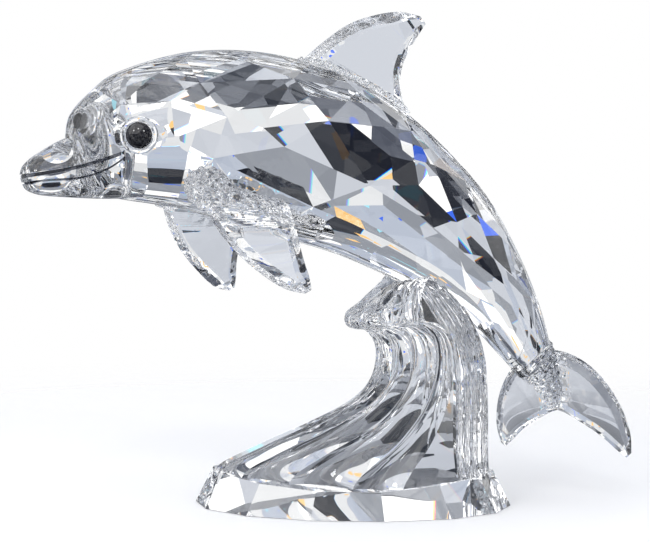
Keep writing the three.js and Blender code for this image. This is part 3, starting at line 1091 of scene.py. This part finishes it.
@dataclass
class Flipper(Piece):
    """A flipper with its rough root.

    Attributes:
        side: 1 for the near side, -1 for the far side.
        drop: how much lower its tip hangs than the near one's.
        ahead: how much further ahead it sits than the near one.
        thickness: its thickness at the root.
        bevels: the bevel's width at the leading and the trailing edge.
    """

    side: int = 1
    drop: float = 0.0
    ahead: float = 0.0
    thickness: float = 4.4
    bevels: tuple[float, float] = (2.6, 2.2)

    def shape(self) -> bpy.types.Object:
        """Makes the flipper's mesh.

        Returns:
            The flipper, not yet shaded.
        """
        front, rear = self._edge(FLIPPER_LEAD), self._edge(FLIPPER_TRAIL)
        out = unit(np.array([0.1, -self.side * 0.86, 0.5]))
        fin = blade(front, rear, out, self.thickness, self.bevels).object(self.name)
        for radii, place, turn in ROOT_KNOBS:
            combine(fin, self._knob(radii, place, turn).object("root"), Join.ADD)
        return combine(fin, room_for_body(), Join.CUT)

    def _edge(self, rows: list[tuple[float, float, float, float]]) -> np.ndarray:
        """The points of an edge, on the flipper's own side."""
        return np.array([(x - self.ahead, -self.side * y, z - self.drop * share) for x, y, z, share in rows])

    def _knob(self, radii: Triple, place: Triple, turn: float) -> Solid:
        """A lump of the root.

        Args:
            radii: its radii along, through and across the root.
            place: its middle on the near side.
            turn: degrees turned down towards the tail.

        Returns:
            The lump.
        """
        a = math.radians(turn)
        across = np.array([math.cos(a), 0.0, -math.sin(a)])
        along = np.array([math.sin(a), 0.0, math.cos(a)])
        centre = np.array([place[0] - self.ahead, -self.side * place[1], place[2]])
        knob = ball(radii, (centre, across, SIDEWAYS, along), 72, 96)
        return lumpy(knob, knob.points.mean(axis=0), 0.26, 1.7)

    def ripples(self, points: np.ndarray) -> np.ndarray:
        """Ripples over the root."""
        root = ((-38.4, 73.6), (-34, 72.6), (-29, 71), (-24, 68.6))
        return near_points(points, [(x, -14.6 * self.side, z) for x, z in root], 5.0)


@dataclass
class Flukes(Piece):
    """The twisted tail flukes with the lump that joins them to the tail stock.

    Attributes:
        thickness: a fluke's thickness at the root.
        bevels: the bevel's width at the leading and the trailing edge.
        twist: degrees that the flukes are turned about the stock.
        far_sweep: how much more the far fluke is swept back, as a share of its reach.
    """

    thickness: float = 4.2
    bevels: tuple[float, float] = (2.4, 1.7)
    twist: float = 31.0
    far_sweep: float = 0.12

    def shape(self) -> bpy.types.Object:
        """Makes the flukes' mesh.

        Returns:
            The flukes, not yet shaded.
        """
        flukes = self._lobe(1, 0.0)
        flukes.name = self.name
        combine(flukes, self._lobe(-1, self.far_sweep), Join.ADD)
        along, around = 90, 80
        stock = skin_solid(STOCK, along, around)
        hearts = np.repeat(stock.points.reshape(along + 1, around, 3).mean(axis=1), around, axis=0)
        combine(flukes, lumpy(stock, hearts, 0.3, 1.6).object("stock"), Join.ADD)
        return combine(flukes, room_for_body(), Join.CUT)

    def _lobe(self, side: int, sweep: float) -> bpy.types.Object:
        """One fluke.

        Args:
            side: 1 for the near one, -1 for the far one.
            sweep: how much more it is swept back, as a share of its reach.

        Returns:
            The fluke.
        """
        twist = math.radians(self.twist)
        span = unit(np.array([math.sin(twist), -math.cos(twist), -0.03]))
        back = unit(np.array([0.224, 0.134, -0.965]))
        origin = np.array([52.2, 0.0, 34.6])
        front, rear = (np.array([origin + span * side * b + back * (a + b * sweep) for b, a in row])
                       for row in (LOBE_LEAD, LOBE_TRAIL))
        return blade(front, rear, unit(np.cross(span, back)), self.thickness, self.bevels).object("lobe")

    def ripples(self, points: np.ndarray) -> np.ndarray:
        """Ripples over the join."""
        return near_points(points, [(52.0, 0.0, 33.0), (52.5, 0.0, 28.0), (53.0, 0.0, 23.0)], 6.0)


@dataclass
class Wave(Piece):
    """The curling wave and its faceted foot.

    Attributes:
        samples: how many points each outline has.
        strips: how many strips there are across a flute.
        half_width: half the wave's width at its crest.
        flare: how much wider each side is at the foot.
        flare_end: the x, towards the tail, past which the wave narrows instead.
        swing: how far the foot of the wave swings sideways, as a share of x.
        crest: the height above which there is no flare or swing.
        flute_depth: the depth of the flutes on the near side.
        far_flute_depth: the depth of the flutes on the far side.
        foot_length: the foot's length along its own axis.
        foot_width: its width.
        foot_height: the height of its rim at the sides.
        foot_rise: how much higher the rim is at the ends.
        foot_inset: how much smaller it is at the top.
        foot_sides: how many sides it has.
        foot_turn: degrees that it is turned against the dolphin.
    """

    samples: int = 200
    strips: int = 8
    half_width: float = 10.5
    flare: float = 5.5
    flare_end: float = 25.0
    swing: float = 0.34
    crest: float = 51.0
    flute_depth: float = 1.3
    far_flute_depth: float = 0.6
    foot_length: float = 74.0
    foot_width: float = 40.0
    foot_height: float = 5.6
    foot_rise: float = 2.8
    foot_inset: float = 4.2
    foot_sides: int = 14
    foot_turn: float = -24.0

    def shape(self) -> bpy.types.Object:
        """Makes the wave's mesh.

        Returns:
            The wave with its foot, not yet shaded.
        """
        near, far = self._half(self.flute_depth), self._half(self.far_flute_depth)
        rings = [self._ring(s, -w) for s, w in reversed(near)] + [self._ring(s, w) for s, w in far]
        wave = loft(rings).object(self.name)
        edge = between(SHOULDER + (SHOULDER - CURL) * 0.15, np.linspace(0, 5.6, 40))
        for side, inset, radius in SIDE_FLUTES:
            path = self._place(edge[:, 0] - inset, edge[:, 1] + 0.05 * inset, side * 1.17)
            combine(wave, bead(path, radius, 0.08, 3.0).object("flute"), Join.CUT)
        levels = [self._level(0, 0), self._level(self.foot_inset, self.foot_height)]
        combine(wave, loft(levels, Skin.FLAT).object("foot"), Join.ADD)
        return combine(wave, room_for_body(), Join.CUT)

    def _half(self, depth: float) -> list[tuple[float, float]]:
        """The outlines of one half of the wave, from the middle outward.

        Args:
            depth: the depth of its flutes.

        Returns:
            For each outline, its share from curl to shoulder and its share of the half width.
        """
        half = []
        for (s0, w0), (s1, w1) in zip(RIDGES, RIDGES[1:]):
            for k in range(self.strips):
                u = k / self.strips
                dip = 4 * u * (1 - u) * depth / self.half_width
                half.append((s0 + (s1 - s0) * u, w0 + (w1 - w0) * u - dip))
        return [*half, RIDGES[-1]]

    def _ring(self, share: float, width: float) -> np.ndarray:
        """One outline of the wave in space.

        Args:
            share: its share from curl to shoulder.
            width: its share of the half width, below zero on the near side.

        Returns:
            Its points.
        """
        rows = CURL + (SHOULDER - CURL) * share
        xz = between(rows, np.linspace(0, len(rows) - 1, self.samples))
        return self._place(xz[:, 0], xz[:, 1], width)

    def _place(self, x: np.ndarray, z: np.ndarray, width: float) -> np.ndarray:
        """Moves points of an outline out to their place, with the wave's flare and swing.

        Args:
            x: their x.
            z: their height.
            width: their share of the half width.

        Returns:
            The points.
        """
        flare = self.flare * np.clip(1 - z / self.crest, 0, 1) * np.minimum(1 - x / self.flare_end, 1)
        slide = -self.swing * x * np.maximum(1 - z / self.crest, 0)
        turn = math.radians(self.foot_turn)
        y = width * (self.half_width + flare) + slide * math.cos(turn)
        return np.stack([x - slide * math.sin(turn), y, z], 1)

    def _level(self, inset: float, height: float) -> np.ndarray:
        """The corners of the foot at its underside or its rim.

        Args:
            inset: how much smaller the foot is there.
            height: the height, 0 for the underside.

        Returns:
            The corners.
        """
        a = 2 * np.pi * np.arange(self.foot_sides) / self.foot_sides
        x, y = (self.foot_length / 2 - inset) * np.cos(a), (self.foot_width / 2 - inset) * np.sin(a)
        z = height + (self.foot_rise * np.cos(a) ** 2 if height > 0 else 0 * a)
        t = math.radians(self.foot_turn)
        return np.stack([x * math.cos(t) - y * math.sin(t), x * math.sin(t) + y * math.cos(t), z], 1)

    def ripples(self, points: np.ndarray) -> np.ndarray:
        """Ripples on the lip, down the hollow's inner edge and the back edge, and at the foot's low end.

        Args:
            points: the points to value, in millimetres.

        Returns:
            A value from 0 to 1 for each point.
        """
        lip = near_points(points, [(0.0, 0.0, 44.0), (1.0, 7.0, 44.0), (1.0, -7.0, 44.0)], 5.0)
        inner = 0.6 * self._along(points, between(CURL, np.linspace(13, 17, 60)), 1.8)
        back = 0.3 * self._along(points, between(SHOULDER, np.linspace(0, 5, 50)), 2.2)
        low = 0.5 * near_points(points, [(-32.0, 14.0, 6.0), (-33.0, 12.0, 2.0)], 6.5)
        return np.maximum.reduce([lip, inner, back, low])

    @staticmethod
    def _along(points: np.ndarray, line: np.ndarray, reach: float) -> np.ndarray:
        """A soft mask along a line seen from the side.

        Args:
            points: the points to value, in millimetres.
            line: the line's points, as x and z.
            reach: how far the mask goes.

        Returns:
            1 on the line, falling to 0 at the reach.
        """
        away = np.full(len(points), 1e9)
        for x, z in line:
            away = np.minimum(away, np.hypot(points[:, 0] - x, points[:, 2] - z))
        return np.clip(1.5 * (1 - away / reach), 0, 1)


# The surroundings as the crystal bends them: where each tone starts, and the tone.
PATCH_TONES = (
    (0.0, (1.35, 1.35, 1.33)),
    (0.20, (0.62, 0.65, 0.71)),
    (0.34, (0.84, 0.85, 0.86)),
    (0.48, (0.30, 0.32, 0.36)),
    (0.62, (0.09, 0.10, 0.13)),
    (0.75, (0.012, 0.014, 0.022)),
    (0.87, (0.49, 0.54, 0.64)),
)
# The same for the floor: painted shade in patches, which only rays bent through the crystal see.
FLOOR_SHADE_TONES = (
    (0.0, (0.60, 0.62, 0.66)),
    (0.28, (0.30, 0.315, 0.35)),
    (0.5, (0.12, 0.128, 0.15)),
    (0.72, (0.022, 0.026, 0.036)),
)
# Small coloured spots: how many there are, how rare they are, and their light.
FLECKS = (
    (60.0, 0.992, (0.05, 0.17, 0.95)),
    (48.0, 0.993, (1.15, 0.7, 0.25)),
    (70.0, 0.994, (0.4, 0.9, 1.05)),
)


def patch_values(tree: Tree, vector: Socket, scale: float) -> Socket:
    """Adds random values in patches to a node tree.

    Args:
        tree: the node tree.
        vector: the socket that gives the place.
        scale: how many patches fit in one unit.

    Returns:
        The socket that gives one value from 0 to 1 for each patch.
    """
    patches = tree.nodes.new("ShaderNodeTexVoronoi")
    patches.inputs["Scale"].default_value = scale
    tree.links.new(vector, patches.inputs["Vector"])
    value = tree.nodes.new("ShaderNodeSeparateColor")
    tree.links.new(patches.outputs["Color"], value.inputs[0])
    return value.outputs[0]


def patchwork(tree: Tree, vector: Socket, scale: float,
              tones: Tones) -> Socket:
    """Adds a patchwork of plain tones to a node tree.

    Args:
        tree: the node tree.
        vector: the socket that gives the place.
        scale: how many patches fit in one unit.
        tones: where each tone starts, from 0 to 1, and the tone.

    Returns:
        The socket that gives the colour.
    """
    ramp = tree.nodes.new("ShaderNodeValToRGB")
    ramp.color_ramp.interpolation = "CONSTANT"
    stops = ramp.color_ramp.elements
    for index, (start, tone) in enumerate(tones):
        stop = stops[index] if index < 2 else stops.new(start)
        stop.position = start
        stop.color = (*tone, 1.0)
    tree.links.new(patch_values(tree, vector, scale), ramp.inputs["Fac"])
    return ramp.outputs["Color"]


@dataclass
class Studio:
    """The floor, the light and the camera.

    Attributes:
        azimuth: the camera's direction round the object, in degrees from straight ahead.
        height: its height angle, in degrees.
        distance: its distance, in metres.
        centre: the point it looks at, in millimetres right of and above the origin.
        focal: its focal length, in pixels of the photograph.
        photo_width: the photograph's width, in pixels.
        sensor: the camera's sensor width, in millimetres.
        floor_size: half the floor's size, in metres.
        floor_drop: how far the floor lies below the foot, in metres.
        floor_tone: the floor's colour.
        floor_fade: where the floor starts and ends fading into the surroundings, in metres.
        floor_shade_patches: how many patches of painted shade the floor has in a metre, seen only by rays
            bent through the crystal.
        patches: the scale of the surroundings' patches.
        patch_turn: how the surroundings are turned, in degrees.
        colour_split: how far red and blue are turned away from green, in degrees.
    """

    azimuth: float = -20.0
    height: float = 3.0
    distance: float = 0.3525
    centre: tuple[float, float] = (-6.345, 54.52)
    focal: float = 1500.0
    photo_width: int = 650
    sensor: float = 36.0
    floor_size: float = 3.0
    floor_drop: float = 0.0002
    floor_tone: Triple = (0.93, 0.93, 0.94)
    floor_fade: tuple[float, float] = (0.06, 0.32)
    floor_shade_patches: float = 48.0
    patches: float = 6.5
    patch_turn: Triple = (160.0, 80.0, 250.0)
    colour_split: float = 0.3

    def camera(self) -> bpy.types.Object:
        """Makes the camera.

        Returns:
            The camera, which the scene now uses.
        """
        az, el = math.radians(self.azimuth), math.radians(self.height)
        back = Vector((math.sin(az) * math.cos(el), -math.cos(az) * math.cos(el), math.sin(el)))
        right = Vector((math.cos(az), math.sin(az), 0.0))
        up = back.cross(right)
        target = (right * self.centre[0] + up * self.centre[1]) * MM
        data = bpy.data.cameras.new("camera")
        data.sensor_fit = "HORIZONTAL"
        data.sensor_width = self.sensor
        data.lens = self.sensor * self.focal / self.photo_width
        data.clip_start = 0.01
        camera = bpy.data.objects.new("camera", data)
        camera.location = target + back * self.distance
        camera.rotation_euler = back.to_track_quat("Z", "Y").to_euler()
        bpy.context.scene.collection.objects.link(camera)
        bpy.context.scene.camera = camera
        return camera

    def floor(self) -> bpy.types.Object:
        """Makes the pale floor.

        Returns:
            The floor.
        """
        mesh = bpy.data.meshes.new("floor")
        corners = ((-1, -1), (1, -1), (1, 1), (-1, 1))
        points = [(x * self.floor_size, y * self.floor_size, -self.floor_drop) for x, y in corners]
        mesh.from_pydata(points, [], [(0, 1, 2, 3)])
        mesh.materials.append(self._floor_material())
        floor = bpy.data.objects.new("floor", mesh)
        bpy.context.scene.collection.objects.link(floor)
        return floor

    def _floor_material(self) -> bpy.types.Material:
        """The floor's material: plain and pale to look at, with patches of painted shade for rays bent
        through the crystal, faded far off.

        Returns:
            The material.
        """
        material = bpy.data.materials.new("floor")
        material.use_nodes = True
        tree = material.node_tree
        nodes, links = tree.nodes, tree.links
        shader = nodes["Principled BSDF"]
        shader.inputs["Roughness"].default_value = 0.9
        shader.inputs["Specular IOR Level"].default_value = 0.0
        place = nodes.new("ShaderNodeTexCoord").outputs["Object"]
        seen = nodes.new("ShaderNodeLightPath").outputs["Is Camera Ray"]
        # Painted shade: rays other than the camera's see dark patches on the floor, while the camera sees the
        # plain pale tone.
        bent = patchwork(tree, place, self.floor_shade_patches, FLOOR_SHADE_TONES)
        links.new(mixed_colour(tree, seen, bent, self.floor_tone), shader.inputs["Base Color"])
        away = nodes.new("ShaderNodeVectorMath")
        away.operation = "LENGTH"
        links.new(place, away.inputs[0])
        fade = nodes.new("ShaderNodeMapRange")
        fade.interpolation_type = "SMOOTHSTEP"
        for socket, value in zip(fade.inputs[1:5], (*self.floor_fade, 1.0, 0.0)):
            socket.default_value = value
        links.new(away.outputs["Value"], fade.inputs[0])
        links.new(fade.outputs[0], shader.inputs["Alpha"])
        return material

    def world(self) -> bpy.types.World:
        """Makes the surroundings: white to look at, a patchwork of tones as the crystal bends them.

        Returns:
            The world.
        """
        world = bpy.data.worlds.new("studio")
        bpy.context.scene.world = world
        world.use_nodes = True
        nodes, links = world.node_tree.nodes, world.node_tree.links
        nodes.clear()
        way = nodes.new("ShaderNodeTexCoord").outputs["Generated"]
        bent = nodes.new("ShaderNodeBackground")
        tones = self._tones(world.node_tree, way)
        links.new(self._flecked(world.node_tree, way, tones), bent.inputs["Color"])
        seen = nodes.new("ShaderNodeBackground")
        seen.inputs["Color"].default_value = (1.0, 1.0, 1.0, 1.0)
        path = nodes.new("ShaderNodeLightPath")
        mix = nodes.new("ShaderNodeMixShader")
        links.new(path.outputs["Is Camera Ray"], mix.inputs["Fac"])
        links.new(bent.outputs[0], mix.inputs[1])
        links.new(seen.outputs[0], mix.inputs[2])
        out = nodes.new("ShaderNodeOutputWorld")
        links.new(mix.outputs[0], out.inputs["Surface"])
        return world

    def _tones(self, tree: Tree, way: Socket) -> Socket:
        """The surroundings' patchwork, with red and blue turned a little for coloured fringes.

        Args:
            tree: the world's node tree.
            way: the socket that gives the direction.

        Returns:
            The socket that gives the colour.
        """
        joined = tree.nodes.new("ShaderNodeCombineColor")
        for channel in range(3):
            split = self.colour_split * (channel - 1)
            turns = [a + split * b for a, b in zip(self.patch_turn, (1, 0, 1))]
            turn = tree.nodes.new("ShaderNodeMapping")
            turn.inputs["Rotation"].default_value = [math.radians(a) for a in turns]
            tree.links.new(way, turn.inputs["Vector"])
            parts = tree.nodes.new("ShaderNodeSeparateColor")
            tones = patchwork(tree, turn.outputs["Vector"], self.patches, PATCH_TONES)
            tree.links.new(tones, parts.inputs[0])
            tree.links.new(parts.outputs[channel], joined.inputs[channel])
        return joined.outputs[0]

    @staticmethod
    def _flecked(tree: Tree, way: Socket,
                 colour: Socket) -> Socket:
        """Lays small coloured spots over the surroundings.

        Args:
            tree: the world's node tree.
            way: the socket that gives the direction.
            colour: the socket that gives the surroundings' colour.

        Returns:
            The socket that gives the colour with the spots.
        """
        for scale, limit, fleck in FLECKS:
            chosen = tree.nodes.new("ShaderNodeMath")
            chosen.operation = "GREATER_THAN"
            chosen.inputs[1].default_value = limit
            tree.links.new(patch_values(tree, way, scale), chosen.inputs[0])
            colour = mixed_colour(tree, chosen.outputs[0], colour, fleck)
        return colour

    def lamp(self, name: str, place: Triple, size: float, power: float) -> bpy.types.Object:
        """Makes a soft area light that faces the object.

        Args:
            name: its name.
            place: where it stands, in metres.
            size: its size, in metres.
            power: its power, in watts.

        Returns:
            The light.
        """
        data = bpy.data.lights.new(name, "AREA")
        data.size = size
        data.energy = power
        lamp = bpy.data.objects.new(name, data)
        lamp.visible_transmission = size > 1.0
        lamp.location = place
        lamp.rotation_euler = (Vector(place) - Vector((0, 0, 0.06))).to_track_quat("Z", "Y").to_euler()
        bpy.context.scene.collection.objects.link(lamp)
        return lamp

    def build(self) -> None:
        """Makes the camera, the floor, the surroundings and the lights, and sets how light is followed."""
        self.camera()
        self.floor()
        self.world()
        self.lamp("key", (-0.5, -0.35, 0.8), 1.8, 13.0)
        self.lamp("left", (-0.75, -0.6, 0.55), 0.14, 0.8)
        self.lamp("top", (-0.3, -0.75, 0.75), 0.14, 0.8)
        self.lamp("right", (0.25, -0.8, 0.5), 0.14, 0.8)
        scene = bpy.context.scene
        scene.view_settings.view_transform = "Standard"
        scene.cycles.use_denoising = True
        scene.cycles.max_bounces = 18
        scene.cycles.transmission_bounces = 14
        scene.cycles.glossy_bounces = 10


def main() -> None:
    """Builds the figurine and the studio round the frame."""
    logging.basicConfig(level=logging.INFO, format="%(name)s: %(message)s")
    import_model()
    effect = SurfaceEffect()
    clear, blades, wave, jet = (effect.material(finish) for finish in (CLEAR, BLADE, WAVE, JET))
    pieces = [
        Body("crystal_body", "dolphin_body", "crystal", clear),
        Dorsal("crystal_dorsal_fin", "dorsal_fin", "crystal", blades),
        Flipper("crystal_flipper_left", "pectoral_fin_left", "crystal", blades, side=1),
        Flipper("crystal_flipper_right", "pectoral_fin_right", "crystal", blades, side=-1, drop=2.4,
                ahead=1.7),
        Flukes("crystal_flukes", "tail_flukes", "crystal", blades),
        Eye("eye_stone_left", "eye_left", "black_crystal", jet, side=1),
        Eye("eye_stone_right", "eye_right", "black_crystal", jet, side=-1),
        Wave("crystal_wave", "wave_base", "crystal", wave),
    ]
    for piece in pieces:
        piece.build()
    Studio().build()


if __name__ == "__main__":
    main()
